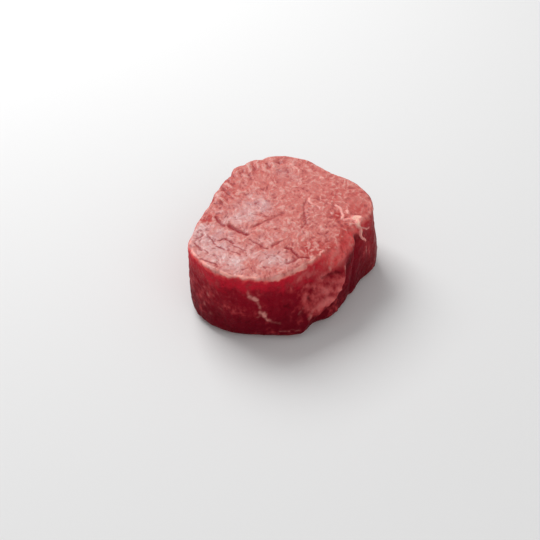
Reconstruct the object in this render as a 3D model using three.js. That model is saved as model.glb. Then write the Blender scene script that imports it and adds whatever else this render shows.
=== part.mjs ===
// A thick raw rump steak: one piece of lean beef cut across the grain, lying on its lower cut face.
// Millimetres, +Z up, +Y towards the narrow end, origin under the middle of the steak.
// The steak is a box of small squares whose points are moved out to the meat's surface: the upper cut face
// with its creases, the rounded rim, the slumped wall with its folds, and the flat lower cut face.

import * as THREE from "three";
import { mergeVertices } from "three/addons/utils/BufferGeometryUtils.js";

// Driving sizes, in millimetres
const THICKNESS = 36.5;
const BASE_ROUND = 4.5; // radius of the edge that the steak rests on

// Outline of the upper cut face as radii from the middle, every 15 degrees anticlockwise from +X
const CUT_FACE_RADII = [
  43.1, 45.5, 45.7, 44.9, 45.2, 49.1, 51.3, 50.5, 47.8, 41.4, 39.6, 38.0, 40.0, 45.4, 52.0, 53.0, 51.6, 49.6,
  43.8, 38.0, 36.2, 37.0, 37.8, 39.4,
];
// How far the lower cut face has spread beyond the upper one, every 15 degrees: most at the front right
const SPREAD = [
  2.8, 2.2, 1.3, 1.8, 2.1, 1.5, 0.9, 1.0, 1.4, 2.1, 2.6, 2.4, 2.0, -0.6, -0.4, 2.0, 2.6, 0.4,
  2.6, 5.8, 7.6, 3.7, 2.4, 0.3,
];
// How far the slumped wall stands out beyond the line between the two faces, every 45 degrees
const BELLY = [1.6, 0.8, 0.6, 0.8, 0.3, 0.6, 1.2, 0.8];
const BELLY_RISE = 0.3; // share of the height at which the belly is widest
// Radius of the upper rim, every 30 degrees: crisp nearly all round, a soft shoulder at the front right
const RIM_ROUND = [2.4, 2.2, 2.4, 2.6, 2.4, 2.0, 1.8, 1.8, 1.6, 2.2, 4.5, 8.0];

// The front of the steak bulges over its right side, and the edge of the bulge slants up as a ridge
const BULGE = {
  out: 4.1,
  left: 15, // half width on the left of the ridge, in degrees
  right: 6,
  end: 314, // where the ridge ends at the top, in degrees
  endHeight: 22, // height above which the ridge stands upright
  bend: 4,
  slant: 1.93, // degrees per millimetre below that height
  fadeFrom: 20, // heights between which the bulge sinks into the shoulder
  fadeTo: 35,
};

// Folds that run down the wall: where at the rim and at the base in degrees, half width in degrees, and how
// deep at the rim and at the base
const FOLDS = [
  { name: "fat seam", from: 343, to: 322, width: 4.5, rimDepth: 3.2, baseDepth: 0.3 },
  { name: "hollow behind the ridge", from: 350, to: 325, width: 8, rimDepth: 0.5, baseDepth: 1 },
  { name: "notch between the two muscles", from: 50, to: 52, width: 7, rimDepth: 0.9, baseDepth: 0.5 },
  { name: "torn notch at the back", from: 103.5, to: 100, width: 3, rimDepth: 1.3, baseDepth: 0.2 },
  { name: "second torn notch", from: 115.5, to: 113, width: 3, rimDepth: 1.4, baseDepth: 0.2 },
  { name: "third torn notch", from: 130.5, to: 130, width: 3.5, rimDepth: 1.3, baseDepth: 0.3 },
  { name: "fourth torn notch", from: 147.5, to: 150, width: 4, rimDepth: 1.1, baseDepth: 0.3 },
  { name: "back fold", from: 160, to: 165, width: 8, rimDepth: 0.3, baseDepth: 1.2 },
  { name: "left fold", from: 196, to: 190, width: 6, rimDepth: 0.3, baseDepth: 0.9 },
];

// Gentle rise and fall of the cut face, and of the wall
const SWELL = { height: 0.5, longWave: 17, crossWave: 13 };
const WALL_SWELL = { height: 0.45, waves: 7, rise: 9 };

// Creases that the knife and the grain leave in the cut face: a path in plan, half width and depth
const CREASES = [
  { path: [[-33, -2.5], [-28.9, -8.7], [-24, -12.2], [-18.2, -15.7]], width: 2.1, depth: 1 },
  { path: [[-14.9, -8.9], [-9.7, -5.2], [-1.9, -0.8]], width: 2.3, depth: 0.7 },
  { path: [[-16.2, -19.5], [-7.7, -26.2], [-1.1, -20.7]], width: 2.3, depth: 0.5 },
  { path: [[0.3, -25.4], [4.8, -29.5], [7.1, -32.1], [11.2, -32.7]], width: 2.2, depth: 0.7 },
  { path: [[11.2, 11.4], [10, 6.2], [10.6, -6.7], [9, -11]], width: 2.6, depth: 0.4 },
  { path: [[-42, -22.2], [-38.4, -27.1]], width: 2.3, depth: 0.4 },
  { path: [[-38.5, -34], [-31.4, -37.7]], width: 2.3, depth: 0.4 },
];

// Squares along each side of the cut face, and rows round the rim, down the wall and round the base edge
const FACE_SQUARES = 52;
const RIM_ROWS = 2;
const WALL_ROWS = 10;
const BASE_ROWS = 3;
const MEAT_COLOUR = "#a8434a";

const DEGREE = Math.PI / 180;
const TURN = 2 * Math.PI;

/** A smooth closed curve through equally spaced values, read at an angle: a Catmull-Rom spline. */
function ringValue(values, angle) {
  const count = values.length;
  const place = (((angle / TURN) % 1) + 1) % 1 * count;
  const first = Math.floor(place);
  const [a, b, c, d] = [-1, 0, 1, 2].map((step) => values[(first + step + count) % count]);
  const t = place - first;
  return b + 0.5 * t * (c - a + t * (2 * a - 5 * b + 4 * c - d + t * (3 * (b - c) + d - a)));
}

/** The turn from one direction to another in degrees, from -180 to 180: positive anticlockwise. */
function degreesPast(angle, degrees) {
  return THREE.MathUtils.euclideanModulo(angle / DEGREE - degrees + 180, 360) - 180;
}

/** A smooth hill: 1 in the middle and almost 0 at twice its half width. */
function hill(distance, halfWidth) {
  return Math.exp(-((distance / halfWidth) ** 2));
}

/** Distance in plan from a point to a path of straight pieces. */
function distanceToPath(x, y, path) {
  const point = new THREE.Vector3(x, y, 0);
  const nearest = new THREE.Vector3();
  const distances = path.slice(1).map(([endX, endY], i) => {
    const piece = new THREE.Line3(new THREE.Vector3(...path[i], 0), new THREE.Vector3(endX, endY, 0));
    return piece.closestPointToPoint(point, true, nearest).distanceTo(point);
  });
  return Math.min(...distances);
}

/** Height of the upper cut face over a plan point: its thickness, a gentle swell, and its creases. */
function cutFaceHeight(x, y) {
  const swell = SWELL.height * Math.sin(x / SWELL.longWave + 0.9) * Math.cos(y / SWELL.crossWave + 0.4);
  const creases = CREASES.map(({ path, width, depth }) => depth * hill(distanceToPath(x, y, path), width));
  return THICKNESS + swell - Math.max(...creases);
}

/** How far the front bulges out at an angle and a height: gently left of its ridge, sharply right of it. */
function bulge(angle, height) {
  const below = BULGE.endHeight - height;
  // The ridge stands still above its end height and slants below it, with a smooth bend in between
  const fall = (below + Math.hypot(below, BULGE.bend)) / 2;
  const away = degreesPast(angle, BULGE.end - BULGE.slant * fall);
  const fade = 1 - THREE.MathUtils.smoothstep(height, BULGE.fadeFrom, BULGE.fadeTo);
  return BULGE.out * fade * hill(away, away < 0 ? BULGE.left : BULGE.right);
}

/** How far the slump stands out at a share of the height: nothing at rim and base, 1 at the belly. */
function bellyShape(share) {
  return Math.sin(Math.PI * share ** (Math.log(0.5) / Math.log(BELLY_RISE)));
}

/** Radius of the wall at an angle and a height: its outline and spread, its bulge, folds and slow swell. */
function wallRadius(angle, height) {
  const share = THREE.MathUtils.clamp(height / THICKNESS, 0, 1);
  const spread = (1 - share) * ringValue(SPREAD, angle) + bellyShape(share) * ringValue(BELLY, angle);
  const swell = 4 * share * (1 - share) * Math.sin(WALL_SWELL.waves * angle + height / WALL_SWELL.rise);
  const folds = FOLDS.map(({ from, to, width, rimDepth, baseDepth }) => {
    const away = degreesPast(angle, THREE.MathUtils.lerp(to, from, share));
    return THREE.MathUtils.lerp(baseDepth, rimDepth, share) * hill(away, width);
  });
  const standingOut = spread + WALL_SWELL.height * swell + bulge(angle, height);
  return ringValue(CUT_FACE_RADII, angle) + standingOut - folds.reduce((sum, depth) => sum + depth);
}

/** Square to disc: the point's share of the way out from the middle, and its angle. */
function squareToDisc(x, y) {
  const share = Math.max(Math.abs(x), Math.abs(y));
  if (share === 0) return { share, angle: 0 };
  const sideways = Math.abs(x) >= Math.abs(y);
  const angle = sideways ? (y / x) * 45 * DEGREE : (90 - (x / y) * 45) * DEGREE;
  return { share, angle: (sideways ? x : y) < 0 ? angle + Math.PI : angle };
}

/** A point of the cut face: along the flat, then half way round the rim. */
function cutFacePoint({ share, angle }) {
  const rim = ringValue(RIM_ROUND, angle);
  const outer = wallRadius(angle, THICKNESS - rim);
  const along = share * (outer - rim + rim * 45 * DEGREE);
  const turned = Math.max(along - (outer - rim), 0) / rim;
  const radius = Math.min(along, outer - rim) + rim * Math.sin(turned);
  const [x, y] = [radius * Math.cos(angle), radius * Math.sin(angle)];
  return new THREE.Vector3(x, y, cutFaceHeight(x, y) - rim * (1 - Math.cos(turned)));
}

/** A point of the wall: from half way round the rim, down, and round the base edge to the flat. */
function wallPoint(angle, row) {
  const [rimShare, wallShare, baseShare] = [
    row / RIM_ROWS,
    (row - RIM_ROWS) / WALL_ROWS,
    (row - RIM_ROWS - WALL_ROWS) / BASE_ROWS,
  ].map((share) => THREE.MathUtils.clamp(share, 0, 1));
  const rim = ringValue(RIM_ROUND, angle);
  const rimTurn = (45 + 45 * rimShare) * DEGREE;
  const baseTurn = 90 * baseShare * DEGREE;
  const wallHeight = THICKNESS - rim - wallShare * (THICKNESS - rim - BASE_ROUND);
  const height = wallHeight + rim * Math.cos(rimTurn) - BASE_ROUND * Math.sin(baseTurn);
  const inwards = rim * (1 - Math.sin(rimTurn)) + BASE_ROUND * (1 - Math.cos(baseTurn));
  const radius = wallRadius(angle, wallHeight) - inwards;
  const [x, y] = [radius * Math.cos(angle), radius * Math.sin(angle)];
  // The rise and fall of the cut face fades out down the wall, so that the base stays level
  const rise = (cutFaceHeight(x, y) - THICKNESS) * THREE.MathUtils.smoothstep(height, 0, THICKNESS);
  return new THREE.Vector3(x, y, Math.max(height + rise, 0));
}

/** Moves every point of a box of small squares out to the meat's surface. */
function steakGeometry() {
  const rows = RIM_ROWS + WALL_ROWS + BASE_ROWS;
  const block = new THREE.BoxGeometry(2, 2, 2, FACE_SQUARES, FACE_SQUARES, rows);
  block.deleteAttribute("normal");
  block.deleteAttribute("uv");
  const positions = block.getAttribute("position");
  for (let i = 0; i < positions.count; i++) {
    const place = squareToDisc(positions.getX(i), positions.getY(i));
    const depth = (1 - positions.getZ(i)) / 2;
    // Underneath, all the squares but the outermost shrink to the middle, and leave a flat fan of wedges
    let point = new THREE.Vector3(0, 0, 0);
    if (place.share > 1 - 1e-6) point = wallPoint(place.angle, depth * rows);
    else if (depth < 0.5) point = cutFacePoint(place);
    positions.setXYZ(i, point.x, point.y, point.z);
  }
  const steak = mergeVertices(block, 1e-4);
  steak.setIndex(flatterTriangles(steak));
  steak.computeBoundingBox();
  const middle = steak.boundingBox.getCenter(new THREE.Vector3());
  steak.translate(-middle.x, -middle.y, 0);
  steak.computeVertexNormals();
  return steak;
}

/** Cuts every square along the diagonal that folds it least, and drops the triangles without area. */
function flatterTriangles(geometry) {
  const positions = geometry.getAttribute("position");
  const index = [...geometry.getIndex().array];
  const corner = (i) => new THREE.Vector3().fromBufferAttribute(positions, i);
  const normal = (three) => new THREE.Triangle(...three.map(corner)).getNormal(new THREE.Vector3());
  const kept = [];
  for (let i = 0; i < index.length; i += 6) {
    const [a, b, d, , c] = index.slice(i, i + 6);
    const cuts = [[[a, b, d], [b, c, d]], [[a, b, c], [a, c, d]]];
    const [asMade, other] = cuts.map(([one, two]) => normal(one).dot(normal(two)));
    const square = new Set([a, b, c, d]).size === 4;
    kept.push(...(square && other > asMade ? cuts[1] : cuts[0]));
  }
  return kept.filter((three) => new Set(three).size === 3).flat();
}

const meat = new THREE.MeshStandardMaterial({ color: MEAT_COLOUR, roughness: 0.42, metalness: 0 });
const steak = new THREE.Mesh(steakGeometry(), meat);
steak.name = "steak";

const part = new THREE.Group();
part.add(steak);

export default part;
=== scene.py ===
"""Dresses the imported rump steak: its lean with the grain and creases, its fat, and a pale studio."""

import bpy
import numpy as np
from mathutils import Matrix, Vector


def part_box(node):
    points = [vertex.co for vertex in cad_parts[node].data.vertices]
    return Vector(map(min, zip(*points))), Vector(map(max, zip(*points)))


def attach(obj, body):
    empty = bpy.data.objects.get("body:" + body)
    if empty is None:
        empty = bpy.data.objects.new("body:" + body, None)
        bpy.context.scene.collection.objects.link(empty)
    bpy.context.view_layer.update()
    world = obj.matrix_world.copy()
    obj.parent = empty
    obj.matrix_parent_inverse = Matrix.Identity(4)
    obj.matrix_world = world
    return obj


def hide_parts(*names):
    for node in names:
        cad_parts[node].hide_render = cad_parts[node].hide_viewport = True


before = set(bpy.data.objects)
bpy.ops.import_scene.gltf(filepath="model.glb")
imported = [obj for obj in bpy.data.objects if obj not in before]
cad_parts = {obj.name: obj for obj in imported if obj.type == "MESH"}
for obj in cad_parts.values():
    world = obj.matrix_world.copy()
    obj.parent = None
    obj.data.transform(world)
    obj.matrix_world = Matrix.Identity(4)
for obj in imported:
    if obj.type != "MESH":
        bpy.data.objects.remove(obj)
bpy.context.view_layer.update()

# The lean: one thick round of raw beef, cut across the grain with a knife and slumped a little on its base,
# on which it lies free. Its form has the solid's own sizes, in millimetres about the middle of the round. A
# list of radii or depths is read at an angle: its values stand at equal turns from +X.
MM = 0.001
THICKNESS = 36.5
BASE_ROUND = 4.5
CUT_FACE_RADII = np.array(
    [43.1, 45.5, 45.7, 44.9, 45.2, 49.1, 51.3, 50.5, 47.8, 41.4, 39.6, 38.0]
    + [40.0, 45.4, 52.0, 53.0, 51.6, 49.6, 43.8, 38.0, 36.2, 37.0, 37.8, 39.4]
)
# How much further out than the cut face the base lies
SPREAD = np.array(
    [2.8, 2.2, 1.3, 1.8, 2.1, 1.5, 0.9, 1.0, 1.4, 2.1, 2.6, 2.4]
    + [2.0, -0.6, -0.4, 2.0, 2.6, 0.4, 2.6, 5.8, 7.6, 3.7, 2.4, 0.3]
)
# How far the wall bellies out, and the share of the height where it does so most
BELLY = np.array([1.6, 0.8, 0.6, 0.8, 0.3, 0.6, 1.2, 0.8])
BELLY_RISE = 0.3
# Radius of the rounding at the rim, which is broad at the right
RIM_ROUND = np.array([2.4, 2.2, 2.4, 2.6, 2.4, 2.0, 1.8, 1.8, 1.6, 2.2, 4.5, 8.0])
# The bulge at the front right: how far it stands out, its half widths in degrees to the left and right, and
# the heights between which it fades away
BULGE_OUT, BULGE_LEFT, BULGE_RIGHT = 4.1, 15, 6
BULGE_FADE = (20, 35)
# The bulge's ridge: degrees above its bend, the bend's height and softness, and the degrees that it slants
# in a millimetre
RIDGE_END, RIDGE_HEIGHT, RIDGE_BEND, RIDGE_SLANT = 314, 22, 4, 1.93
# Folds down the wall: degrees at the rim and base, half width in degrees, depth at the rim and base
FOLDS = {
    "fat seam": (343, 322, 4.5, 3.2, 0.3),
    "hollow behind the ridge": (350, 325, 8, 0.5, 1),
    "notch between the two muscles": (50, 52, 7, 0.9, 0.5),
    "torn notch at the back": (103.5, 100, 3, 1.3, 0.2),
    "second torn notch": (115.5, 113, 3, 1.4, 0.2),
    "third torn notch": (130.5, 130, 3.5, 1.3, 0.3),
    "fourth torn notch": (147.5, 150, 4, 1.1, 0.3),
    "back fold": (160, 165, 8, 0.3, 1.2),
    "left fold": (196, 190, 6, 0.3, 0.9),
}
# The slow swell of the cut face and of the wall: heights, lengths or number of waves, and where they start
SWELL_HEIGHT, SWELL_LONG, SWELL_CROSS = 0.5, 17, 13
SWELL_LONG_START, SWELL_CROSS_START = 0.9, 0.4
WALL_SWELL_HEIGHT, WALL_SWELL_WAVES, WALL_SWELL_RISE = 0.45, 7, 9


def ring(values, angle):
    """A smooth closed curve through equally spaced values, read at an angle: a cubic between each two of
    them, whose slope at each value is half the difference of its neighbours."""
    place = (angle / (2 * np.pi)) % 1 * len(values)
    first = np.floor(place).astype(int)
    a, b, c, d = (values[(first + step) % len(values)] for step in (-1, 0, 1, 2))
    t = place - first
    return b + 0.5 * t * (c - a + t * (2 * a - 5 * b + 4 * c - d + t * (3 * (b - c) + d - a)))


def hill(distance, half_width):
    """A smooth hill: e to the minus square of distance over half width."""
    return np.exp(-((distance / half_width) ** 2))


def ease(values, low, high):
    """0 below low, 1 above high, and a smooth step between: three squares less two cubes of the share."""
    share = np.clip((values - low) / (high - low), 0, 1)
    return share * share * (3 - 2 * share)


def degrees_past(angle, degrees):
    """The turn from one direction to another in degrees, from -180 to 180: positive anticlockwise."""
    return (np.degrees(angle) - degrees + 180) % 360 - 180


def ridge_place(height):
    """The bulge's ridge in degrees: it stands still above its bend and slants below it."""
    below = RIDGE_HEIGHT - height
    return RIDGE_END - RIDGE_SLANT * (below + np.hypot(below, RIDGE_BEND)) / 2


def wall_radius(angle, height):
    """Radius of the wall: the cut face's outline with its spread, slump, slow swell, bulge and folds."""
    share = np.clip(height / THICKNESS, 0, 1)
    slump = np.sin(np.pi * share ** (np.log(0.5) / np.log(BELLY_RISE))) * ring(BELLY, angle)
    swell = 4 * share * (1 - share) * np.sin(WALL_SWELL_WAVES * angle + height / WALL_SWELL_RISE)
    radius = ring(CUT_FACE_RADII, angle) + (1 - share) * ring(SPREAD, angle) + slump
    past = degrees_past(angle, ridge_place(height))
    bulge = hill(past, np.where(past < 0, BULGE_LEFT, BULGE_RIGHT))
    radius = radius + WALL_SWELL_HEIGHT * swell + BULGE_OUT * bulge * (1 - ease(height, *BULGE_FADE))
    for rim_place, base_place, width, rim_depth, base_depth in FOLDS.values():
        past = degrees_past(angle, base_place + (rim_place - base_place) * share)
        radius = radius - (base_depth + (rim_depth - base_depth) * share) * hill(past, width)
    return radius


def face_swell(x, y):
    """The gentle rise and fall of the cut face over a plan point: a sine wave times a cosine wave."""
    along = np.sin(x / SWELL_LONG + SWELL_LONG_START)
    return SWELL_HEIGHT * along * np.cos(y / SWELL_CROSS + SWELL_CROSS_START)


# The skin of the lean: one closed surface of small squares, over the cut face, round the rim, down the
# wall and under the base, where the squares are four times as large.
FACE_SQUARES = 220
BASE_STEP = 4
BASE_SQUARES = FACE_SQUARES // BASE_STEP
RIM_ROWS, WALL_ROWS, BASE_ROWS = 6, 42, 5


def square_to_disc(squares):
    """A square grid from -1 to 1 as the share of the way out from the middle, and the angle, of each point:
    the square's rings become the disc's, and each side of the square a quarter turn."""
    steps = np.linspace(-1, 1, squares + 1)
    x, y = np.meshgrid(steps, steps)
    share = np.maximum(np.abs(x), np.abs(y))
    sideways = np.abs(x) >= np.abs(y)
    across, along = np.where(sideways, y, x), np.where(sideways, x, y)
    lean = np.pi / 4 * across / np.where(along == 0, 1, along)
    angle = np.where(sideways, lean, np.pi / 2 - lean) + np.where(along < 0, np.pi, 0)
    return share, angle


def grid_rim(grid):
    """The outermost indices of a grid of indices, in order round it and back to the first corner."""
    return np.concatenate([grid[0, :-1], grid[:-1, -1], grid[-1, :0:-1], grid[:0:-1, 0], grid[:1, 0]])


def squares_of(grid):
    """The four corners of each square of a grid of indices, in order."""
    return np.stack([grid[:-1, :-1], grid[:-1, 1:], grid[1:, 1:], grid[1:, :-1]], axis=-1).reshape(-1, 4)


def face_surface(share, angle):
    """The cut face and half the rim: out along the flat by arc length, then up to 45 degrees round the rim.
    Returns radius, height, how far the surface has turned from level, and how far it is past the flat."""
    rim = ring(RIM_ROUND, angle)
    flat = wall_radius(angle, THICKNESS - rim) - rim
    along = share * (flat + rim * np.pi / 4)
    turn = np.maximum(along - flat, 0) / rim
    radius = np.minimum(along, flat) + rim * np.sin(turn)
    return radius, THICKNESS - rim * (1 - np.cos(turn)), turn, along - flat


def wall_surface(rows, angle):
    """The rest: the rim's other half, the wall, and the round edge that ends on the flat base, by rows.
    Returns the same four values as face_surface."""
    rim_share = np.clip(rows / RIM_ROWS, 0, 1)
    wall_share = np.clip((rows - RIM_ROWS) / WALL_ROWS, 0, 1)
    base_share = np.clip((rows - RIM_ROWS - WALL_ROWS) / BASE_ROWS, 0, 1)
    rim = ring(RIM_ROUND, angle)
    rim_turn, base_turn = np.pi / 4 * (1 + rim_share), np.pi / 2 * base_share
    wall_height = THICKNESS - rim - wall_share * (THICKNESS - rim - BASE_ROUND)
    height = wall_height + rim * np.cos(rim_turn) - BASE_ROUND * np.sin(base_turn)
    inwards = rim * (1 - np.sin(rim_turn)) + BASE_ROUND * (1 - np.cos(base_turn))
    past = rim * rim_turn + (THICKNESS - rim - wall_height) + BASE_ROUND * base_turn
    return wall_radius(angle, wall_height) - inwards, height, rim_turn + base_turn, past


face_share, face_angle = square_to_disc(FACE_SQUARES)
face_index = np.arange(face_share.size).reshape(face_share.shape)
around = grid_rim(face_index)
wall_rows = np.arange(1, RIM_ROWS + WALL_ROWS + BASE_ROWS + 1)[:, None] * np.ones(len(around) - 1)
wall_angle = np.broadcast_to(face_angle.ravel()[around[:-1]], wall_rows.shape)
wall_index = face_share.size + np.arange(wall_angle.size).reshape(wall_angle.shape)
base_share, base_angle = square_to_disc(BASE_SQUARES)
base_index = face_share.size + wall_angle.size + np.arange(base_share.size).reshape(base_share.shape)

# The base is a disc just smaller than the foot of the wall
foot_radius, _, foot_turn, foot_past = wall_surface(wall_rows.max(), base_angle)
base_radius = foot_radius * base_share * (1 - 1 / BASE_SQUARES)
surfaces = [
    face_surface(face_share, face_angle),
    wall_surface(wall_rows, wall_angle),
    (base_radius, 0 * base_radius, foot_turn + 0 * base_radius, foot_past + foot_radius - base_radius),
]
radius, height, turn, past_flat = (np.concatenate([part[i].ravel() for part in surfaces]) for i in range(4))
angle = np.concatenate([face_angle.ravel(), wall_angle.ravel(), base_angle.ravel()])
degrees = np.degrees(angle) % 360
x, y = radius * np.cos(angle), radius * np.sin(angle)
level = np.cos(turn)

# Four small squares of the wall's foot meet one large square of the base: the gap is closed by five triangles
wall_grid = np.vstack([around[None], np.hstack([wall_index, wall_index[:, :1]])])
outer, inner = wall_grid[-1], grid_rim(base_index)
fans = [
    np.stack([outer[step:-1:BASE_STEP], outer[step + 1 :: BASE_STEP], inner[side:][: len(inner) - 1]], axis=1)
    for step, side in ((0, 0), (1, 0), (2, 1), (3, 1))
]
fans.append(np.stack([outer[2::BASE_STEP], inner[1:], inner[:-1]], axis=1))
faces = squares_of(face_index).tolist() + squares_of(wall_grid)[:, ::-1].tolist()
faces += squares_of(base_index)[:, ::-1].tolist() + np.concatenate(fans)[:, ::-1].tolist()

# The creases in the cut face, where the knife dragged and the bundles parted: each is a path in plan with
# its half width, its depth and how dark red it shows, as painted shade in the groove. They wander a little
# off their straight paths.
CREASES = [
    ([(-33.0, -2.5), (-30.9, -6.4), (-28.9, -8.7)], 1.0, 0.5, 0.9),
    ([(-26.5, -8.7), (-22.9, -11.8), (-17.9, -15.6)], 1.3, 0.75, 1.0),
    ([(-14.4, -9.6), (-10.6, -7.0)], 0.9, 0.38, 0.68),
    ([(-9.4, -6.1), (-6.8, -4.3), (-3.8, -2.4), (-0.7, -0.5)], 0.85, 0.28, 0.52),
    ([(-16.2, -19.5), (-13.3, -21.9), (-10.5, -24.8), (-7.7, -26.2)], 0.75, 0.42, 0.7),
    ([(-5.8, -24.1), (-3.5, -22.6), (-1.1, -20.7)], 0.65, 0.3, 0.7),
    ([(-30.8, -20.0), (-28.5, -18.5), (-26.6, -20.0), (-23.7, -22.3)], 0.7, 0.35, 0.8),
    ([(-31.5, -24.6), (-29.6, -25.3), (-28.2, -26.8)], 0.75, 0.35, 0.8),
    ([(-24.1, -23.8), (-20.7, -26.1), (-17.9, -27.5)], 0.6, 0.3, 0.7),
    ([(-24.4, -28.3), (-22.5, -29.0), (-20.6, -30.4)], 0.6, 0.3, 0.65),
    ([(-38.5, -34.0), (-36.1, -35.5), (-33.3, -36.9), (-31.4, -37.7)], 0.65, 0.35, 0.85),
    ([(-42.0, -22.2), (-40.0, -24.9), (-38.4, -27.1)], 0.7, 0.35, 0.75),
    ([(-37.0, -27.3), (-35.5, -29.5)], 0.6, 0.3, 0.7),
    ([(-41.8, -18.4), (-39.9, -17.6), (-38.6, -15.3)], 0.6, 0.3, 0.7),
    ([(-35.7, -16.9), (-33.6, -20.0), (-32.5, -23.0)], 0.6, 0.3, 0.75),
    ([(-19.0, -41.0), (-16.8, -40.2)], 0.7, 0.2, 0.6),
    ([(0.3, -25.4), (3.0, -26.7), (4.8, -29.5), (7.1, -32.1), (11.2, -32.7)], 0.75, 0.5, 0.9),
    ([(1.0, -36.4), (3.8, -35.0), (7.1, -32.1)], 0.9, 0.35, 0.65),
    ([(11.2, 11.4), (10.0, 6.2), (10.0, -1.2), (10.6, -6.7), (9.0, -11.0)], 0.8, 0.35, 0.6),
    ([(17.6, -24.6), (20.6, -20.4), (19.3, -16.8)], 0.6, 0.25, 0.45),
    ([(-3.0, 44.6), (0.0, 44.2)], 1.5, 0.3, 0.6),
]
WANDER, WANDER_SIZE = 0.4, 1.8


def path_distance(x, y, path):
    """Distance from each point to a path of straight pieces: the least over its pieces."""
    nearest = np.full(np.shape(x), np.inf)
    for (ax, ay), (bx, by) in zip(path, path[1:]):
        along = ((x - ax) * (bx - ax) + (y - ay) * (by - ay)) / ((bx - ax) ** 2 + (by - ay) ** 2)
        along = np.clip(along, 0, 1)
        nearest = np.minimum(nearest, np.hypot(x - ax - along * (bx - ax), y - ay - along * (by - ay)))
    return nearest


def drawn(strokes, x, y):
    """The strongest of some strokes over each point: its strength times a hill of the distance from it."""
    hills = [strength * hill(path_distance(x, y, path), width) for path, width, strength in strokes]
    return np.max(hills, axis=0)


def crossing_random(column, row, seed):
    """A repeatable random number from 0 to 1 for each crossing of a lattice: its indices, mixed as bits."""
    mixed = (column * 374761393 + row * 668265263 + seed * 982451653) & 0xFFFFFFFF
    mixed = ((mixed ^ (mixed >> 13)) * 1274126177) & 0xFFFFFFFF
    return ((mixed ^ (mixed >> 16)) & 0xFFFFFF) / 0xFFFFFF


def clouds(x, y, size, seed, octaves=3):
    """Soft random clouds from -1 to 1: random crossings blended smoothly, at halving sizes and heights."""
    total, weight = np.zeros(np.shape(x)), 0.0
    for octave in range(octaves):
        u, v = x / size * 2**octave, y / size * 2**octave
        column, row = np.floor(u).astype(int), np.floor(v).astype(int)
        s, t = (f * f * (3 - 2 * f) for f in (u - column, v - row))
        near, far = (
            (1 - s) * crossing_random(column, row + step, seed + octave)
            + s * crossing_random(column + 1, row + step, seed + octave)
            for step in (0, 1)
        )
        total = total + ((1 - t) * near + t * far) * 2 / 2**octave - 1 / 2**octave
        weight += 1 / 2**octave
    return total / weight


warp_x = x + WANDER * clouds(x, y, WANDER_SIZE, 21, 1)
warp_y = y + WANDER * clouds(x, y, WANDER_SIZE, 23, 1)
groove = drawn([(path, width, depth) for path, width, depth, _ in CREASES], warp_x, warp_y)
# Painted shade: how dark red each crease shows
crease_shade = drawn([(path, width, darkness) for path, width, _, darkness in CREASES], warp_x, warp_y)

# The grain: short strands of fibre strewn over the cut face, pale ones standing up and dark ones sunk between
# them. At the front left they give way to long thin seams. The wall has broad soft blotches and bent streaks
# at the front, and upright fibres and paler film elsewhere.
MM_PER_DEGREE = 0.82
WALL_WARP, WALL_WARP_SIZE = 0.8, 2.5
FACE_WARP, FACE_WARP_SIZE = 0.7, 2.6
STRAND_SQUARE, STRAND_WIDTH, STRAND_LENGTH = 3.6, 0.85, 1.8
STRAND_LAYERS, LAYER_RIGHT, LAYER_BACK = 3, 1.6, 1.1
STRAND_SQUASH = 0.75
# The strands lie in a direction that turns slowly from place to place, and each strays from it
LIE_TURN, LIE_SIZE, LIE_SPREAD = 2.6, 9.0, 1.8
# The front wall: its middle in degrees, and how far to each side it is full and where it ends
FRONT_MIDDLE, FRONT_FULL, FRONT_END = 275, 60, 95


def strands(x, y, square, half_width, half_length, seed, heading=0.0, spread=np.pi):
    """Short strokes strewn one to a lattice square, each with its own place, heading, bend and strength, from
    0.35 to 1. Gives the strongest over each point: a hill of the way along it times one across it."""
    column, row = np.floor(x / square).astype(int), np.floor(y / square).astype(int)
    strongest = np.zeros(x.shape)
    for across in (-1, 0, 1):
        for up in (-1, 0, 1):
            draws = [crossing_random(column + across, row + up, seed + draw) for draw in range(5)]
            away_x = x - (column + across + draws[0]) * square
            away_y = y - (row + up + draws[1]) * square
            course = heading + spread * (draws[2] - 0.5)
            ahead = away_x * np.cos(course) + away_y * np.sin(course)
            aside = away_y * np.cos(course) - away_x * np.sin(course)
            aside = aside + 0.5 * (draws[3] - 0.5) * ahead**2 / half_length
            stroke = (0.35 + 0.65 * draws[4]) * hill(ahead, half_length) * hill(aside, half_width)
            strongest = np.maximum(strongest, stroke)
    return strongest


def layered_strands(seed):
    """Strands of the cut face in a few layers, each shifted from the last, on a lattice that the squash draws
    out towards the back: the strongest of the layers."""
    layers = [
        strands(
            grain_x + LAYER_RIGHT * layer,
            STRAND_SQUASH * grain_y + LAYER_BACK * layer,
            STRAND_SQUARE,
            STRAND_WIDTH,
            STRAND_LENGTH,
            seed + 10 * layer,
            lie,
            LIE_SPREAD,
        )
        for layer in range(STRAND_LAYERS)
    ]
    return np.max(layers, axis=0)


# The wall unrolled in millimetres round and up, and the cut face in plan, both warped a little
around_mm = MM_PER_DEGREE * degrees + WALL_WARP * clouds(degrees, height, WALL_WARP_SIZE, 61)
up_mm = height + WALL_WARP * clouds(degrees, height, WALL_WARP_SIZE, 63)
grain_x = x + FACE_WARP * clouds(x, y, FACE_WARP_SIZE, 3, 2)
grain_y = y + FACE_WARP * clouds(x, y, FACE_WARP_SIZE, 5, 2)
lie = LIE_TURN * clouds(x, y, LIE_SIZE, 7, 2)

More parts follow.
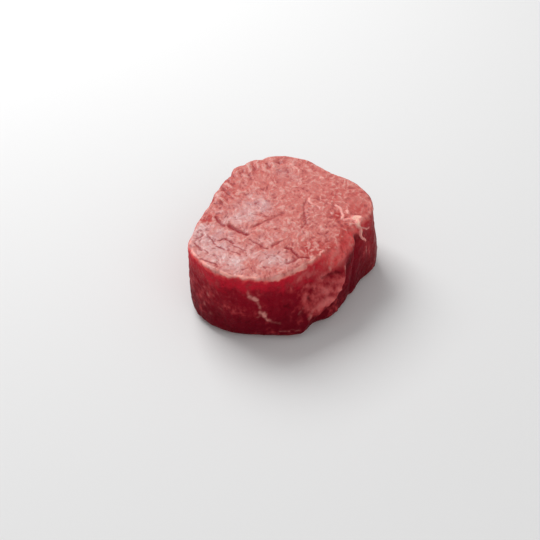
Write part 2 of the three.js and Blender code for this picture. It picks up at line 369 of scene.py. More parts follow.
# The strokes, each kind by its lattice square, half width, half length and seed
pale_strand, dark_strand = layered_strands(200), layered_strands(300)
seam = strands(grain_x, grain_y, 4.4, 0.5, 2.6, 140, heading=-0.6, spread=1.4)
wall_pale = strands(around_mm, up_mm, 4.2, 1.0, 2.0, 150)
wall_dark = strands(around_mm + 2, up_mm + 1, 4.6, 1.5, 2.3, 160)
upright = strands(around_mm, up_mm, 6.5, 0.6, 4.2, 170, heading=np.pi / 2, spread=0.4)
upright = upright - strands(around_mm + 1, up_mm + 3, 6.5, 0.7, 4.2, 180, heading=np.pi / 2, spread=0.4)
streak = strands(around_mm, up_mm, 5.2, 0.7, 4.0, 400, heading=1.2, spread=1.6)
streak = streak - strands(around_mm + 2, up_mm + 2, 5.2, 0.8, 4.0, 410, heading=1.2, spread=1.6)
front_wall = 1 - ease(np.abs(degrees_past(angle, FRONT_MIDDLE)), FRONT_FULL, FRONT_END)
film = ease(clouds(around_mm + 0.15 * height, 0.7 * height, 13.0, 79), 0.05, 0.5) * (1 - front_wall)

# The torn edge at the back left, where the muscle's skin was pulled off: short pale ridges and dark gaps that
# run towards the back and fan out a little to the left. Each is a direction in degrees, a radius, and how
# pale, or with a minus sign how dark, it shows.
TORN_STREAKS = [
    (97.0, 42.8, 0.8), (104.4, 40.9, 0.7), (107.5, 43.3, 0.7), (114.2, 43.1, 1.0), (121.4, 37.6, 0.6),
    (124.5, 42.0, 0.7), (132.6, 41.5, 0.4), (139.2, 35.7, 0.8), (144.5, 36.5, 0.5), (152.3, 32.5, 0.8),
    (157.0, 34.5, 0.4), (161.2, 32.1, 0.7), (91.9, 44.4, -0.7), (100.6, 42.2, -0.8), (110.1, 43.9, -0.8),
    (117.9, 36.5, -0.9), (120.0, 41.0, -0.7), (124.1, 38.7, -0.6), (128.2, 43.0, -0.8), (135.8, 38.0, -0.7),
    (141.8, 40.0, -0.5), (146.8, 35.5, -0.7), (149.7, 31.6, -0.6), (155.0, 31.0, -0.6), (164.0, 31.8, -0.9),
    (165.5, 35.1, -0.7), (170.0, 37.0, -0.5),
]
STREAK_WIDTH, STREAK_LENGTH, STREAK_WANDER = 0.95, 3.5, 0.35
STREAK_HEADING, STREAK_FAN = 100, 0.4
wander = STREAK_WANDER * clouds(x, y, 2.4, 41, 1)
torn = np.zeros(x.shape)
for place, reach, strength in TORN_STREAKS:
    heading = np.radians(STREAK_HEADING + STREAK_FAN * (place - STREAK_HEADING))
    away_x, away_y = x - reach * np.cos(np.radians(place)), y - reach * np.sin(np.radians(place))
    ahead = away_x * np.cos(heading) + away_y * np.sin(heading)
    aside = away_y * np.cos(heading) - away_x * np.sin(heading) + wander
    torn = torn + strength * hill(aside, STREAK_WIDTH) * hill(ahead, STREAK_LENGTH)
torn = torn * ease(level, -0.2, 0.5)

# The ridge down the right of the front wall, where one muscle ends: a lip whose pale is partly its own and
# partly a painted highlight on the ridge's edge, with a hollow to its right that dies away under the tag of
# fat, and a facet to its left with folds in it. The hollow and folds are dents painted dark as painted shade,
# and the facet, which faces up to the light, is painted paler as painted light. Wall paths are in degrees
# round and millimetres up, and each fold is a path with its half width and depth.
LIP = [(341, 33.5), (331, 33), (324, 30.7), (319, 27.8), (313.5, 25.5), (309.5, 22), (303.3, 17.5)]
LIP += [(297.5, 15.2), (292.7, 13.9), (288.4, 12.3), (284, 10.5), (277.6, 9.5)]
LIP_WIDTH = 1.5
HOLLOW = [(348.5, 33.8), (345, 32), (336, 29.5), (328, 26.5), (321.5, 23), (317, 19), (311, 14.5)]
HOLLOW += [(303, 11.3), (295, 9.3), (287, 7.0)]
HOLLOW_WIDTH, HOLLOW_WIDER, HOLLOW_TOP = 2.7, 1.3, (31.5, 35.0)
WALL_FOLDS = [
    ([(295.7, 26.4), (298.9, 27.0), (303.5, 27.2), (307.2, 26.7), (310.2, 26.0)], 0.9, 0.8),
    ([(285.4, 18.8), (286.0, 17.5)], 1.1, 0.9),
    ([(288.7, 23.0), (287.5, 20.5)], 0.9, 0.5),
    ([(280.8, 12.3), (278.2, 11.7)], 1.0, 0.7),
    ([(293.3, 33.4), (289.3, 29.3), (286.3, 23.7), (284.7, 18.4)], 0.9, 0.3),
    ([(226.6, 28.0), (228.6, 25.0)], 1.3, 0.4),
    ([(242.8, 24.0), (244.5, 21.0)], 1.2, 0.4),
]
# The facet's middle in degrees and height, and its half widths: painted light, paler where the facet faces up
FACET = (300, 18.5, 16, 8)


def on_wall(path):
    """A wall path in millimetres round and up."""
    return [(MM_PER_DEGREE * place, up) for place, up in path]


def drawn_on_wall(strokes):
    """The strongest of some strokes whose paths are on the wall, over each point."""
    return drawn([(on_wall(path), width, strength) for path, width, strength in strokes], around_mm, up_mm)


def wall_spot(place, up, wide, tall):
    """A smooth oval spot on the wall: a hill of the turn past its place times a hill of the rise over it."""
    return hill(degrees_past(angle, place), wide) * hill(height - up, tall)


wall_side = ease(past_flat, 1, 4)
# The lip's pale, partly its own and partly a painted highlight on the ridge's edge
lip = drawn_on_wall([(LIP, LIP_WIDTH, 1)]) * (0.65 + 0.5 * clouds(degrees, height, 3, 65, 2))
hollow = drawn_on_wall([(HOLLOW, HOLLOW_WIDTH + HOLLOW_WIDER * ease(height, 22, 30), 1)])
hollow = hollow * (0.8 + 0.5 * clouds(degrees, height, 3, 67, 2)) * (1 - 0.9 * ease(height, *HOLLOW_TOP))
fold = drawn_on_wall(WALL_FOLDS)
facet = wall_spot(*FACET) * (1 - 0.8 * hollow)
facet_strand = strands(around_mm, up_mm, 3.8, 0.75, 2.8, 190, heading=-0.6, spread=1.2)

# The fat and membrane grown into the lean: pale threads by the notch in the cut face, a seam of small lumps
# down the front wall, and a tag of fat at the right edge whose forked tail hangs down the wall, with a few
# pale streaks on the facet that are painted highlights. Each is a path, in plan or on the wall, with its half
# width and how strongly it shows.
THREADS = [
    ([(25.7, 6.6), (27.4, 4.3), (28.1, 2.4)], 0.7, 0.9),
    ([(28.3, 1.9), (28.8, -1.0), (28.3, -3.4)], 0.75, 0.95),
    ([(25.6, 9.3), (28.8, 10.0), (30.7, 8.4), (32.9, 5.4)], 0.55, 0.42),
    ([(31.4, 6.2), (31.4, 3.8)], 0.5, 0.4),
    ([(31.2, 2.2), (31.6, 0.1)], 0.8, 0.85),
    ([(12.7, 12.0), (12.9, 10.0), (13.5, 8.4)], 0.7, 0.75),
    ([(14.0, 8.2), (16.0, 6.8), (17.6, 4.4)], 0.7, 0.45),
    ([(18.2, 14.3), (18.6, 11.7)], 0.5, 0.5),
    ([(4.2, 42.7), (6.8, 39.2), (8.3, 37.4)], 0.9, 0.6),
    ([(19.4, 30.4), (20.6, 30.4)], 0.9, 0.8),
    ([(22.0, 9.0), (24.0, 6.5)], 0.5, 0.4),
    ([(31.4, 13.4), (30.6, 12.6)], 0.6, 0.5),
]
WALL_THREADS_AND_HIGHLIGHTS = [
    ([(250.3, 29.5), (251.0, 27.2), (252.4, 26.4)], 1.0, 0.35),
    ([(251.8, 26.3), (254.0, 25.2)], 1.3, 0.6),
    ([(254.0, 25.6), (254.9, 24.6)], 0.95, 1.0),
    ([(255.4, 24.0), (256.6, 21.8), (257.6, 19.5)], 0.8, 0.42),
    ([(257.2, 17.2), (258.6, 16.6)], 1.1, 0.6),
    ([(258.8, 16.6), (259.4, 14.9)], 0.95, 0.9),
    ([(259.6, 14.4), (260.6, 12.8), (262.6, 11.8)], 0.8, 0.5),
    ([(263.2, 11.0), (267.5, 9.4)], 0.9, 0.3),
    ([(256.0, 14.8), (257.4, 15.4)], 0.9, 0.35),
    ([(227.9, 20.3), (228.4, 19.6)], 1.1, 0.35),
    ([(231.9, 21.2), (232.2, 20.6)], 0.8, 0.25),
    ([(226.0, 14.3), (226.4, 13.4)], 1.3, 0.35),
    ([(236.2, 15.8), (236.8, 15.2)], 0.9, 0.25),
    ([(230.2, 10.5), (231.0, 10.0)], 1.0, 0.3),
    ([(303.5, 30.4), (303.3, 29.2)], 0.9, 0.65),
    ([(302.4, 33.7), (302.0, 32.9)], 0.7, 0.4),
    ([(315.3, 27.0), (314.6, 25.0)], 0.9, 0.5),
    ([(339.5, 33.0), (336.0, 32.8), (331.5, 32.0), (328.0, 32.4)], 0.8, 0.55),
    ([(347.8, 23.0), (347.8, 19.0)], 0.6, 0.45),
    ([(285.6, 10.6), (284.0, 9.4)], 1.1, 0.42),
    ([(267.6, 5.4), (273.1, 5.6), (278.6, 4.6)], 0.5, 0.34),
    # Pale slanted fibres on the facet, painted as highlights running down it
    ([(278.1, 11.8), (281.4, 14.4)], 0.9, 0.3),
    ([(283.7, 9.5), (288.8, 13.7), (291.3, 14.7)], 0.8, 0.32),
    ([(294.1, 15.6), (296.9, 18.3), (301.2, 19.9)], 0.8, 0.25),
]
FACE_FAT = [
    ([(29.9, -5.0), (32.4, -4.8)], 1.35, 0.7),
    ([(33.8, -4.4), (34.9, -3.1), (36.6, -3.1)], 1.6, 1.1),
    ([(35.4, -3.6), (35.5, -6.2)], 1.5, 1.0),
    ([(35.5, -6.2), (35.6, -8.6)], 1.1, 0.95),
]
WALL_FAT = [
    ([(346.6, 35.9), (345.9, 34.9)], 0.9, 0.9),
    ([(345.9, 35.0), (344.9, 33.6), (344.7, 31.5)], 0.9, 0.85),
    ([(344.7, 31.5), (345.2, 29.4), (346.2, 28.1)], 0.65, 0.8),
    ([(346.2, 28.2), (347.4, 27.1)], 0.7, 0.75),
    ([(346.5, 34.6), (348.3, 33.7), (350.9, 32.3), (353.4, 31.9)], 0.5, 0.7),
    ([(350.2, 32.5), (351.8, 32.0)], 0.7, 0.75),
]
face_fat = drawn(FACE_FAT, warp_x, warp_y) * ease(level, 0.3, 0.6)
fat = np.maximum(face_fat, drawn_on_wall(WALL_FAT) * ease(past_flat, -1, 1))
face_thread = drawn(THREADS, warp_x, warp_y) * ease(level, 0.5, 0.8)
thread_and_highlight = np.maximum(face_thread, drawn_on_wall(WALL_THREADS_AND_HIGHLIGHTS) * wall_side)

# How red or pale the cut face shows. It is redder at the right and by the torn edge, and paler at the front
# left, where the pale is partly the cut fibres' own and partly painted sheen of the soft light on the wet
# face:
# each tint is a spot's middle in plan, its half widths, and how much paler or, below 0, redder it is.
FACE_TINTS = [
    (-39, -4.2, 5.5, 2.4, -1.0),
    (-34.8, -2.2, 3.0, 2.4, -0.9),
    (26, -3, 6, 4.5, -0.4),
    (26, -1.2, 2.2, 2.6, -0.6),
    (37, 2, 5, 5, -0.3),
    (25, 17, 6, 5, -0.25),
    (34, 12, 8, 10, -0.12),
    (19, -24, 9, 5, -0.35),
    (30, -15, 5, 6, -0.35),
    (-8, -3, 4, 3, -0.15),
    (-17, -37, 4, 3, -0.35),
    (-28, 24, 5, 11, -0.56),
    (-30, 15, 5, 6, -0.22),
    (-25, -10.5, 5, 3, -0.2),
    (-1, 36, 9, 8, 0.2),
    (-15, 38, 10, 5, -0.3),
    (-22, -3, 7, 4, 0.28),
    (-33, -22, 8, 9, 0.08),
    (-24, -34, 9, 6, 0.34),
    (-22.5, -30.8, 4, 3.5, -0.25),
    (11.5, -27.5, 6, 5.5, -0.5),
    (-4, -33, 7, 5, 0.42),
    (-40, -13, 4, 9, 0.22),
    (-13, 6, 9, 6, 0.18),
]
# Middles and half widths of the spots of painted sheen, where the light lies cool on the wet face, and of the
# smooth lobe at the right with little grain
SHEEN_SPOTS = [(-14, 6, 12, 8), (-33, -18, 10, 12)]
SMOOTH_SPOT = (35, 7, 6, 9)


def spot(x, y, middle_x, middle_y, wide, deep):
    """A smooth oval spot in plan: a hill of the distance across times a hill of the distance back."""
    return hill(x - middle_x, wide) * hill(y - middle_y, deep)


# The tint at the middle, and how much it falls in a millimetre to the right and to the back
TINT_MIDDLE, TINT_FALL_RIGHT, TINT_FALL_BACK = 0.44, 0.0035, 0.0014
rim = ring(RIM_ROUND, angle)
# The pale at the front left is partly painted sheen
tint = TINT_MIDDLE - TINT_FALL_RIGHT * x - TINT_FALL_BACK * y + 0.15 * clouds(x, y, 7.0, 71)
for *oval, amount in FACE_TINTS:
    tint = tint + amount * spot(warp_x, warp_y, *oval)
tint = tint - 0.3 * ease(rim, 3, 6.5) * ease(past_flat, -5, 3)
# Painted sheen: cool spots of light on the wet face
cool_sheen = sum(spot(x, y, *oval) for oval in SHEEN_SPOTS)
smooth = spot(x, y, *SMOOTH_SPOT)

# The grain stands out most at the front right, and least at the back, on the torn edge and on the smooth lobe
# Where the cut face is pale, partly with painted sheen
pale_and_sheen_zone = ease(tint, 0.5, 0.8)
front_right = ease(x, 5, 20) * (1 - ease(y, 5, 20))
grain = (pale_strand - dark_strand - 0.12) * (1 - 0.2 * pale_and_sheen_zone) - 1.25 * seam * pale_and_sheen_zone
grain = grain * (1 + 0.35 * front_right - 0.25 * ease(y, 18, 32))
grain = grain * (1 - 0.6 * np.abs(torn)) * (1 - 0.5 * smooth) + 1.8 * torn

# How pale, or below 0 how dark, the wall shows: soft blotches and strokes all round, bent streaks at the
# front, upright fibres and film on the rest, and painted light and shade in spots, on the facet and on the
# lip.
# Each spot is its degrees, height, half widths, and how much paler or, below 0, darker it is: most paler ones
# lie under the rim and on the facet as painted light, and the darker ones low on the wall are painted shade.
WALL_LIGHT_AND_SHADE_SPOTS = [
    (262, 29, 14, 5, -0.1),
    (232, 29, 12, 4, 0.1),
    (289, 29, 14, 7, 0.42),
    (273, 27, 7, 4, 0.12),
    (250, 9, 14, 5, -0.12),
    (322, 9, 14, 6, -0.45),
    (281, 15, 5, 4, 0.4),
    (276, 30, 8, 5, 0.15),
    (280, 32, 9, 3.5, 0.35),
]
right_wall = hill(degrees_past(angle, 348), 14)
left_front = hill(degrees_past(angle, 220), 20)
wall_tone_and_light = 0.35 * clouds(around_mm, height, 6.0, 73) + 0.15 * (wall_pale - wall_dark) * ease(past_flat, 3, 9)
wall_tone_and_light = wall_tone_and_light + front_wall * (0.4 * clouds(around_mm + 0.5 * height, height, 11.0, 87, 2) + 0.2 * streak)
wall_tone_and_light = wall_tone_and_light + (0.35 * (1 - front_wall) + 0.5 * right_wall) * upright + 0.3 * film + 0.12 * right_wall
wall_tone_and_light = wall_tone_and_light + left_front * (0.175 + 0.3 * clouds(around_mm, up_mm, 4.5, 91))
wall_tone_and_light = wall_tone_and_light * ease(past_flat, 2, 7)
# The spots of painted light and shade
for *oval, amount in WALL_LIGHT_AND_SHADE_SPOTS:
    wall_tone_and_light = wall_tone_and_light + amount * wall_spot(*oval)
# Painted light: the facet is painted paler where it faces up to the light
facet_light = 1.02 + 0.7 * facet_strand + 0.6 * clouds(around_mm + 0.4 * up_mm, up_mm, 4.5, 93)
wall_tone_and_light = wall_tone_and_light + facet * facet_light + 0.4 * lip
# Painted shade in the hollow and folds
hollow_shade = np.maximum(0.8 * hollow, 0.8 * fold) * ease(past_flat, -1, 1)
shoulder = ease(rim, 3.0, 6.0) * hill(past_flat - 5.5, 6.0) * (1 - hollow)

# The edge of the cut face: its pale colour ends on the rim in a ragged line. Each drop, where it runs further
# over, is its degrees, half width in degrees and millimetres. The underside shows cut lean as well.
CUT_EDGE, CUT_BLEND = 1.5, 0.9
RIM_DROPS = [(235, 9, 1.0), (268, 7, 0.6), (283, 10, 2.0)]
front_rim = hill(degrees_past(angle, 255), 48)
depth = past_flat - sum(drop * hill(degrees_past(angle, place), wide) for place, wide, drop in RIM_DROPS)
ragged = depth + 1.1 * front_rim * clouds(x, y, 3.6, 83, 2)
ragged = ragged + 0.9 * clouds(around_mm, 0.3 * height, 1.7, 75, 2)
blend_end = CUT_EDGE + CUT_BLEND + 0.8 * np.maximum(rim - 2.6, 0)
underside = (1 - ease(height, 0.1, 0.8)) * ease(-level, 0.5, 0.95)
cut = np.maximum(1 - ease(ragged, CUT_EDGE - CUT_BLEND, blend_end), underside)

# The bright band on it, partly the pale of the cut edge and partly painted highlight: a broken pale line at
# the very edge, a painted highlight at the right and left ends where the light catches the rim, and the warm
# pale of the fibres that are turned over the rim at the front
edge_line = (0.3 + 0.7 * front_rim) * (1 - ease(rim, 3.6, 6.5)) * hill(ragged - 0.5, 1.0)
edge_line = edge_line * (0.8 + 1.3 * clouds(x, y, 3.4, 77))
edge_highlight = 0.6 * hill(degrees_past(angle, 15), 32) + 0.6 * hill(degrees_past(angle, 198), 14)
edge_highlight = edge_highlight * hill(ragged - 2.2, 1.0) * (0.6 + 1.2 * clouds(x, y, 5.0, 89))
turned = hill(degrees_past(angle, 275), 20) * ease(past_flat, 0.3, 1.8) * (1 - ease(ragged, 1.8, 3.2))
turned = turned * (0.62 + 0.5 * clouds(x, y, 3.4, 95))
rim_pale_and_highlight = np.maximum.reduce([edge_line, edge_highlight, turned])

# Relief of the skin, along the surface: up on level ground, outwards on the wall, none under the base
LUMP_HEIGHT, GRAIN_HEIGHT, TORN_HEIGHT, PEBBLE_HEIGHT, WALL_PEBBLE_HEIGHT = 0.35, 0.24, 0.3, 0.08, 0.15
STROKE_HEIGHT, UPRIGHT_HEIGHT, BILLOW_HEIGHT, STREAK_HEIGHT = 0.2, 0.35, 0.45, 0.25
LIP_HEIGHT, HOLLOW_DEPTH, FOLD_DEPTH, FACET_HEIGHT = 0.35, 0.5, 0.6, 0.8
THREAD_HEIGHT, FAT_HEIGHT, BAND_HEIGHT = 0.3, 0.6, 0.12
lumps = clouds(x + 0.6 * height, y - 0.4 * height, 9.0, 31)
pebbles = clouds(around_mm, up_mm, 3.2, 33, 2)
billows = clouds(around_mm, 0.35 * height, 5.5, 81, 2)
relief = LUMP_HEIGHT * lumps * (1.4 - 0.8 * level) - 0.05
relief = relief + ease(level, 0.3, 0.8) * (GRAIN_HEIGHT * grain + PEBBLE_HEIGHT * pebbles - groove)
wall_relief = WALL_PEBBLE_HEIGHT * pebbles + STROKE_HEIGHT * (wall_pale - wall_dark)
wall_relief = wall_relief + (1 - front_wall) * (UPRIGHT_HEIGHT * upright + BILLOW_HEIGHT * billows)
wall_relief = wall_relief + LIP_HEIGHT * lip - HOLLOW_DEPTH * hollow - FOLD_DEPTH * fold
wall_relief = wall_relief + FACET_HEIGHT * facet * (facet_strand - 0.3) + STREAK_HEIGHT * front_wall * streak
relief = relief + wall_side * wall_relief + TORN_HEIGHT * torn
relief = relief + THREAD_HEIGHT * thread_and_highlight + FAT_HEIGHT * ease(fat, 0.15, 0.9) + BAND_HEIGHT * rim_pale_and_highlight
relief = relief * (1 - ease(-level, 0.3, 0.9))
skin_x = x + np.sin(turn) * relief * np.cos(angle)
skin_y = y + np.sin(turn) * relief * np.sin(angle)
rise = ease(height, 0, THICKNESS) * face_swell(skin_x, skin_y)
skin_height = np.maximum(height + level * relief + rise, 0)

# The skin is moved in plan so that the middle of its box is the middle of the solid's
points = np.stack([skin_x, skin_y, skin_height], axis=1)
steak_box = np.array(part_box("steak")) / MM
shift = (steak_box[:, :2].sum(axis=0) - points[:, :2].min(axis=0) - points[:, :2].max(axis=0)) / 2
points[:, :2] += shift


def mesh_object(name, points, faces, attributes):
    """A smooth-shaded object from points in millimetres, with one number at each point for each attribute."""
    mesh = bpy.data.meshes.new(name)
    mesh.from_pydata((points * MM).tolist(), [], faces)
    mesh.update()
    mesh.shade_smooth()
    for label, values in attributes.items():
        mesh.attributes.new(label, "FLOAT", "POINT").data.foreach_set("value", values.astype(np.float32))
    made = bpy.data.objects.new(name, mesh)
    bpy.context.scene.collection.objects.link(made)
    return made


# What the material reads at each point of the skin
masks = {
    "grain": grain,
    "crease_shade": crease_shade * ease(level, 0.5, 0.9),
    "thread_and_highlight": thread_and_highlight,
    "fat": fat,
    "cool_sheen": cool_sheen,
    "smooth": smooth,
    "tint": tint,
    "wall_tone_and_light": wall_tone_and_light,
    "shoulder": shoulder,
    "hollow_shade": hollow_shade,
    "front": front_wall,
    "cut": cut,
    "rim_pale_and_highlight": rim_pale_and_highlight,
    "depth": depth,
}
lean = mesh_object("lean_meat", points, faces, masks)


class Paint:
    """One socket of a material. Sums and products of values add Math nodes, and node() adds any other."""

    def __init__(self, tree, socket=None):
        self.tree = tree
        self.socket = socket

    def node(self, kind, settings, inputs, output=0):
        """Adds a node: its settings first, then the values or links of its sockets. Returns one output."""
        made = self.tree.nodes.new(kind)
        for name, value in settings.items():
            setattr(made, name, value)
        for name, value in inputs.items():
            named = [socket for socket in made.inputs if socket.name == name and socket.enabled]
            socket = named[0] if named else made.inputs[name]
            if isinstance(value, Paint):
                self.tree.links.new(value.socket, socket)
            else:
                socket.default_value = (*value, 1) if socket.type == "RGBA" else value
        return Paint(self.tree, made.outputs[output])

    def feed(self, shader, name):
        """Links this value or colour to one socket of a shader."""
        self.tree.links.new(self.socket, shader.inputs[name])

    def maths(self, operation, first, second):
        """One Math node on two values."""
        return self.node("ShaderNodeMath", {"operation": operation}, {0: first, 1: second})

    def __add__(self, other):
        return self.maths("ADD", self, other)

    def __radd__(self, other):
        return self.maths("ADD", other, self)

    def __sub__(self, other):
        return self.maths("SUBTRACT", self, other)

    def __rsub__(self, other):
        return self.maths("SUBTRACT", other, self)

    def __mul__(self, other):
        return self.maths("MULTIPLY", self, other)

    def __rmul__(self, other):
        return self.maths("MULTIPLY", other, self)

    def between(self, low, high):
        """0 at low, 1 at high, and a smooth step from one to the other."""
        settings = {"interpolation_type": "SMOOTHSTEP"}
        return self.node("ShaderNodeMapRange", settings, {0: self, 1: low, 2: high})

    def attribute(self, name):
        """The number that the mesh holds at each point under a name."""
        return self.node("ShaderNodeAttribute", {"attribute_name": name}, {}, output=2)

    def stretched(self, place, factors):
        """A place with each of its axes multiplied by a factor."""
        return self.node("ShaderNodeVectorMath", {"operation": "MULTIPLY"}, {0: place, 1: factors})

    def noise(self, place, size, detail=3, twist=0):
        """Soft noise about 0.5, in lumps of a size in millimetres that a twist draws out into whorls."""
        inputs = {"Vector": place, "Scale": 1000 / size, "Detail": detail, "Distortion": twist}
        return self.node("ShaderNodeTexNoise", {}, inputs)

    def contour(self, place, size, twist):
        """Thin wavy lines, 1 along the middle value of twisted noise and 0 away from it."""
        off_middle = self.noise(place, size, 1, twist) - 0.5
        return (off_middle * off_middle).between(0.008, 0.0)

    def mix(self, share, first, second):
        """A colour that goes from the first to the second as the share goes from 0 to 1."""
        inputs = {"Factor": share, "A": first, "B": second}
        return self.node("ShaderNodeMix", {"data_type": "RGBA"}, inputs, output=2)


def new_material(name):
    """A material with only its shader and output: the material, its shader, and a Paint on its node tree."""
    material = bpy.data.materials.new(name)
    material.use_nodes = True
    tree = material.node_tree
    return material, tree.nodes["Principled BSDF"], Paint(tree)


# The material of the lean: raw beef, from noises of several sizes in millimetres and the masks of the skin
meat, meat_shader, paint = new_material("raw_beef")
place = paint.node("ShaderNodeTexCoord", {}, {}, output=3)
lengthwise, upwards = paint.stretched(place, (1, 0.7, 1)), paint.stretched(place, (1, 1, 0.2))
speck, fleck, patch = paint.noise(place, 0.7), paint.noise(place, 1.3), paint.noise(place, 6.0)
swirl, fibre = paint.noise(lengthwise, 2.8), paint.noise(upwards, 1.3)
mottle = paint.noise(place, 4.2, 4)
thin_line = paint.contour(lengthwise, 6.2, 0.9) + paint.contour(lengthwise, 4.0, 0.8)
mask = {name: paint.attribute(name) for name in masks}

# The cut face: salmon lean, paler or redder by zone, with pale strands, dark strands, small flecks and dark
# red creases. The pale at the front left is partly painted sheen and the cool spots are painted sheen of the
# light on the wet face; the whitish strands there are painted highlights, and the creases' dark red painted
# shade.
RED_LEAN, SALMON_LEAN, PALE_LEAN_AND_SHEEN = (0.48, 0.055, 0.05), (0.61, 0.17, 0.148), (0.70, 0.41, 0.395)
COOL_SHEEN = (0.52, 0.26, 0.27)
SALMON_STRAND, PALE_STRAND_AND_SHEEN, DARK_STRAND = (0.80, 0.42, 0.37), (0.88, 0.62, 0.60), (0.34, 0.055, 0.06)
CREASE_SHADE_RED = (0.33, 0.03, 0.035)
# Painted sheen as well as the pale of the cut fibres
paleness_and_sheen = mask["tint"] + (patch - 0.5) * 0.4 + (mottle - 0.5) * 0.5
face_colour = paint.mix(paleness_and_sheen.between(-0.3, 0.4), RED_LEAN, SALMON_LEAN)
face_colour = paint.mix(paleness_and_sheen.between(0.36, 1.05), face_colour, PALE_LEAN_AND_SHEEN)
# Painted sheen: a cool pale where the light lies on the wet face
cool_sheen_share = mask["cool_sheen"].between(0.1, 1.0) * patch.between(0.35, 0.6) * 0.5
face_colour = paint.mix(cool_sheen_share, face_colour, COOL_SHEEN)
grain_up = mask["grain"] * 0.65 + (fleck - 0.5) * 0.5 + (swirl - 0.5) * 1.0 + thin_line * 0.4 - 0.2
grain_up = grain_up * (1 - mask["smooth"] * 0.55)
# In the pale, partly painted sheen, the strands turn whitish: painted highlights
strand_colour = paint.mix(paleness_and_sheen.between(0.45, 0.95), SALMON_STRAND, PALE_STRAND_AND_SHEEN)
face_colour = paint.mix(grain_up.between(0.0, 0.95) * 0.66, face_colour, strand_colour)
face_colour = paint.mix(grain_up.between(0.0, -0.8) * 0.8, face_colour, DARK_STRAND)
# Painted shade in the creases: a dark red
face_colour = paint.mix(mask["crease_shade"].between(0.03, 0.92), face_colour, CREASE_SHADE_RED)

# The wall: deep red, with paler and darker blotches. Its light and shade are painted: painted light makes it
# bright red just under the rim, and painted shade darkens it towards the base. The front, which lies in
# shade, has its own deeper and more saturated copy of the reds; away from the front they are duller.
FRONT_RIM_LIGHT, FRONT_RED = (0.86, 0.09, 0.09), (0.56, 0.012, 0.030)
FRONT_DEEP_SHADE, FRONT_FOOT_SHADE = (0.26, 0.003, 0.013), (0.14, 0.0012, 0.008)
BACK_RED, BACK_DEEP_SHADE, BACK_FOOT_SHADE = (0.42, 0.045, 0.045), (0.27, 0.016, 0.020), (0.19, 0.009, 0.013)
WALL_ROSE, WALL_PALE, WALL_BLACK = (0.48, 0.04, 0.048), (0.79, 0.205, 0.195), (0.10, 0.0006, 0.004)
# Painted light and shade: the front reds go from bright under the rim to near black at the foot
deeper = mask["depth"] + (mottle - 0.5) * 14 + (swirl - 0.5) * 12
rim_light_share = (mask["depth"] * 0.6 + deeper * 0.4).between(1.2, 3.8)
front_light_and_shade = paint.mix(rim_light_share, FRONT_RIM_LIGHT, FRONT_RED)
front_light_and_shade = paint.mix(deeper.between(3.5, 11.5), front_light_and_shade, FRONT_DEEP_SHADE)
front_light_and_shade = paint.mix(mask["depth"].between(11, 34), front_light_and_shade, FRONT_FOOT_SHADE)
# Painted shade: the rest of the wall darkens towards the base as well
back_colour = paint.mix(mask["depth"].between(2, 12), BACK_RED, BACK_DEEP_SHADE)
back_colour = paint.mix(mask["depth"].between(11, 34), back_colour, BACK_FOOT_SHADE)
wall_colour = paint.mix(mask["front"], back_colour, front_light_and_shade)
tone_and_light_up = mask["wall_tone_and_light"] + (mottle - 0.5) * (0.5 + mask["front"] * 0.6)
tone_and_light_up = tone_and_light_up + (fibre - 0.5) * (1.5 - mask["front"] * 0.9)
# The pale of the blotches also carries painted light: the facet, the lip and the pale spots
blotch_and_light_colour = paint.mix((tone_and_light_up + (mottle - 0.5) * 0.8).between(0.2, 2.2), WALL_ROSE, WALL_PALE)
fineness = mask["front"] - mask["wall_tone_and_light"].between(0.4, 1.1) * 0.6
tone_and_light_up = tone_and_light_up + fineness * ((swirl - 0.5) * 1.7 + (fleck - 0.5) * 0.9)
wall_colour = paint.mix(tone_and_light_up.between(0.0, 1.1), wall_colour, blotch_and_light_colour)
# Dark blotches, and the painted shade of the dark spots, turn near black
wall_colour = paint.mix(tone_and_light_up.between(-0.1, -1.2), wall_colour, WALL_BLACK)

# The shoulder at the right, where the rim is broad: a salmon between the cut face's and the wall's, partly
# its own and partly painted light, made brighter where the rim turns away from the light
SHOULDER_RED, SHOULDER_SALMON = (0.76, 0.085, 0.085), (0.86, 0.16, 0.15)
SHOULDER_PALE, SHOULDER_DARK = (0.80, 0.26, 0.23), (0.42, 0.03, 0.035)
shoulder_colour = paint.mix(patch.between(0.35, 0.65), SHOULDER_RED, SHOULDER_SALMON)
shoulder_colour = paint.mix(swirl.between(0.5, 0.68) * 0.5, shoulder_colour, SHOULDER_PALE)
shoulder_colour = paint.mix(swirl.between(0.46, 0.34) * 0.5, shoulder_colour, SHOULDER_DARK)
wall_colour = paint.mix(mask["shoulder"].between(0.05, 0.9), wall_colour, shoulder_colour)

# Both together, with the bright band on the rim of pale edge and painted highlight, the painted shade of the
# hollow and folds, the threads and the tag of fat
BAND_PALE_AND_HIGHLIGHT, HOLLOW_SHADE_RED = (0.98, 0.42, 0.36), (0.12, 0.003, 0.007)
WALL_THREAD_AND_HIGHLIGHT, FACE_THREAD = (0.72, 0.27, 0.24), (0.94, 0.43, 0.38)
THIN_FAT, THICK_FAT = (0.80, 0.27, 0.25), (0.97, 0.52, 0.42)
colour = paint.mix(mask["cut"], wall_colour, face_colour)
# The pale cut edge and painted highlight on the rim
colour = paint.mix(mask["rim_pale_and_highlight"].between(0.15, 0.9), colour, BAND_PALE_AND_HIGHLIGHT)
# Painted shade: the hollow and folds darken to near black
colour = paint.mix(mask["hollow_shade"].between(0.0, 1.0) * 0.9, colour, HOLLOW_SHADE_RED)
thread_and_highlight_up = mask["thread_and_highlight"] * (0.6 + swirl * 0.8) + (fleck - 0.5) * mask["thread_and_highlight"] * 0.8
thread_and_highlight_colour = paint.mix(mask["cut"], WALL_THREAD_AND_HIGHLIGHT, FACE_THREAD)
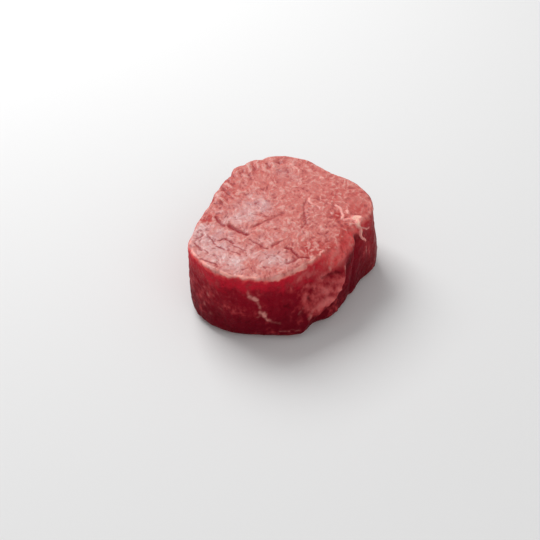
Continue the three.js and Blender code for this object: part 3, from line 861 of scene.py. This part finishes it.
# Threads, and on the facet painted highlights
colour = paint.mix(thread_and_highlight_up.between(0.08, 0.85) * 0.9, colour, thread_and_highlight_colour)
fat_up = mask["fat"] + (fleck - 0.5) * 0.35
fat_colour = paint.mix(fat_up.between(0.55, 1.0), THIN_FAT, THICK_FAT)
colour = paint.mix(fat_up.between(0.2, 0.5), colour, fat_colour)
colour.feed(meat_shader, "Base Color")

# The moist surface: soft gloss with a film of juice over it, thickest on the pale of the cut face, and fine
# bumps of fibre
BUMP_STRENGTH, BUMP_HEIGHT = 0.6, 0.0004
(0.4 + speck * 0.25).feed(meat_shader, "Roughness")
wet = mask["cut"] * (0.12 + 0.24 * paleness_and_sheen.between(0.45, 0.9))
wet = wet + swirl.between(0.42, 0.7) * (0.25 - mask["front"] * 0.19)
wet.feed(meat_shader, "Coat Weight")
bump_height = speck * 0.5 + fleck * 0.8 + swirl * 0.6 + thin_line * 0.35
bump_inputs = {"Strength": BUMP_STRENGTH, "Distance": BUMP_HEIGHT, "Height": bump_height}
paint.node("ShaderNodeBump", {}, bump_inputs).feed(meat_shader, "Normal")
meat_shader.inputs["Specular IOR Level"].default_value = 0.04
meat_shader.inputs["Subsurface Weight"].default_value = 0.15
meat_shader.inputs["Subsurface Radius"].default_value = (1.0, 0.2, 0.15)
meat_shader.inputs["Subsurface Scale"].default_value = 0.0015
meat_shader.inputs["Coat Roughness"].default_value = 0.25
lean.data.materials.append(meat)
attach(lean, "root")
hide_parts("steak")

# The studio: a pale matt floor that runs out of view, a large soft light behind and to the left that lays the
# wet sheen on the cut face, and weaker fill light from the front.
FLOOR_HALF = 2.0
FLOOR_CORNERS = [(-1, -1), (1, -1), (1, 1), (-1, 1)]
floor_mesh = bpy.data.meshes.new("floor")
floor_points = [(FLOOR_HALF * right, FLOOR_HALF * back, 0) for right, back in FLOOR_CORNERS]
floor_mesh.from_pydata(floor_points, [], [(0, 1, 2, 3)])
floor = bpy.data.objects.new("floor", floor_mesh)
bpy.context.scene.collection.objects.link(floor)
floor_material, floor_shader, _ = new_material("pale_floor")
floor_shader.inputs["Base Color"].default_value = (0.8, 0.8, 0.8, 1)
floor_shader.inputs["Roughness"].default_value = 0.9
floor_mesh.materials.append(floor_material)


def soft_light(name, place, size, power):
    """A square area light at a place, facing the steak: place and size in millimetres, power in watts."""
    lamp = bpy.data.lights.new(name, "AREA")
    lamp.size = size * MM
    lamp.energy = power
    light = bpy.data.objects.new(name, lamp)
    light.location = Vector(place) * MM
    light.rotation_euler = Vector(place).to_track_quat("Z", "Y").to_euler()
    bpy.context.scene.collection.objects.link(light)


soft_light("window_light", (-450, 650, 850), 700, 11.5)
soft_light("front_fill", (500, -900, 700), 900, 2)
world = bpy.data.worlds.new("studio")
world.use_nodes = True
world.node_tree.nodes["Background"].inputs["Color"].default_value = (1, 1, 1, 1)
world.node_tree.nodes["Background"].inputs["Strength"].default_value = 0.4
bpy.context.scene.world = world
bpy.context.scene.view_settings.view_transform = "Standard"

# The camera: it looks along +Y and down from a little over forty degrees, as the photograph was taken, at a
# point of the floor a little left of the steak's middle. It has no roll and no shift.
CAMERA_DOWN = np.radians(41.5)
CAMERA_AWAY = 463.2
CAMERA_LENS = 60.0
CAMERA_AIM = np.array([-6.75, -0.25])

to_camera = np.array([0, -np.cos(CAMERA_DOWN), np.sin(CAMERA_DOWN)])
camera = bpy.data.objects.new("camera", bpy.data.cameras.new("camera"))
camera.data.lens = CAMERA_LENS
camera.location = (np.append(CAMERA_AIM + shift, 0) + CAMERA_AWAY * to_camera) * MM
camera.rotation_euler = Vector(-to_camera).to_track_quat("-Z", "Y").to_euler()
bpy.context.scene.collection.objects.link(camera)
bpy.context.scene.camera = camera
